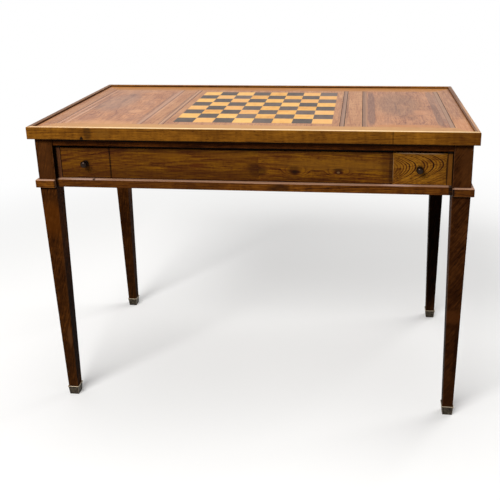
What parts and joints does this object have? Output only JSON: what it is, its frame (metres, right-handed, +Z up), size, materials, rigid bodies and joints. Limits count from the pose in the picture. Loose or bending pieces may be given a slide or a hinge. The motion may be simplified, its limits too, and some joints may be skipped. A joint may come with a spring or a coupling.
{
  "type": "games table",
  "caption": "Rectangular games table on tapered square legs, with a lift-off tray top inlaid with a chequered board, a well under it and small drawers in the front.",
  "frame": {"origin": "on the floor, under the centre of the top", "axes": "+X along the long side to the right of a person facing the drawers, +Y from the drawer side to the back, +Z up"},
  "size_m": [1.046, 0.562, 0.74],
  "materials": {
    "rim_wood": "waxed fruitwood, golden brown",
    "leg_wood": "stained and waxed fruitwood, dark",
    "rail_wood": "waxed fruitwood",
    "apron_wood": "waxed fruitwood, straight grain",
    "figured_front": "waxed fruitwood, cathedral grain",
    "sabot_brass": "cast brass, tarnished",
    "knob_bronze": "turned bronze, dark patina",
    "light_square": "polished boxwood veneer",
    "dark_square": "polished ebonised veneer",
    "dark_line": "ebonised stringing",
    "banding": "polished walnut banding",
    "field_veneer": "polished cherry veneer",
    "border_veneer": "polished cherry veneer, warmer",
    "baize": "napped green baize",
    "well_wood": "waxed walnut, satin",
    "oak_inside": "planed oak, bare"
  },
  "bodies": {
    "carcase": {"apron_back": "apron_wood", "apron_front_left_board": "apron_wood", "apron_front_right_board": "apron_wood", "apron_left": "apron_wood", "apron_right": "apron_wood", "brass_sabots": "sabot_brass", "drawer_kickers": "oak_inside", "drawer_runners": "oak_inside", "drawer_stiles": "rail_wood", "drawer_stops": "oak_inside", "end_boards": "well_wood", "leg_back_left": "leg_wood", "leg_back_right": "leg_wood", "leg_collars": "rail_wood", "leg_front_left": "leg_wood", "leg_front_right": "leg_wood", "lower_rail_back": "rail_wood", "lower_rail_front": "rail_wood", "lower_rail_left": "rail_wood", "lower_rail_right": "rail_wood", "upper_rail_back": "rail_wood", "upper_rail_front": "rail_wood", "upper_rail_left": "rail_wood", "upper_rail_right": "rail_wood", "well_divider_bar": "well_wood", "well_floor": "well_wood", "well_partitions": "well_wood", "well_points_dark": "dark_square", "well_points_light": "light_square"},
    "top": {"banding_strips": "banding", "board_margin_strips": "border_veneer", "border_long_strips": "border_veneer", "border_short_strips": "border_veneer", "chess_squares_dark": "dark_square", "chess_squares_light": "light_square", "field_panel_left": "field_veneer", "field_panel_right": "field_veneer", "frieze_strips": "border_veneer", "reverse_baize": "baize", "rim_back": "rim_wood", "rim_front": "rim_wood", "rim_left": "rim_wood", "rim_right": "rim_wood", "stringing_lines": "dark_line", "top_core_panel": "oak_inside"},
    "drawer_left": {"drawer_left_back": "oak_inside", "drawer_left_bottom": "oak_inside", "drawer_left_front": "apron_wood", "drawer_left_inner_side": "oak_inside", "drawer_left_knob": "knob_bronze", "drawer_left_knob_nut": "knob_bronze", "drawer_left_outer_side": "oak_inside"},
    "drawer_right": {"drawer_right_back": "oak_inside", "drawer_right_bottom": "oak_inside", "drawer_right_front": "figured_front", "drawer_right_inner_side": "oak_inside", "drawer_right_knob": "knob_bronze", "drawer_right_knob_nut": "knob_bronze", "drawer_right_outer_side": "oak_inside"}
  },
  "joints": [
    {"name": "top_lift", "type": "slide", "parent": "carcase", "child": "top", "axis": [0, 0, 1], "range_m": [0, 0.15]},
    {"name": "drawer_left_slide", "type": "slide", "parent": "carcase", "child": "drawer_left", "axis": [0, -1, 0], "range_m": [0, 0.28]},
    {"name": "drawer_right_slide", "type": "slide", "parent": "carcase", "child": "drawer_right", "axis": [0, -1, 0], "range_m": [0, 0.28]}
  ]
}
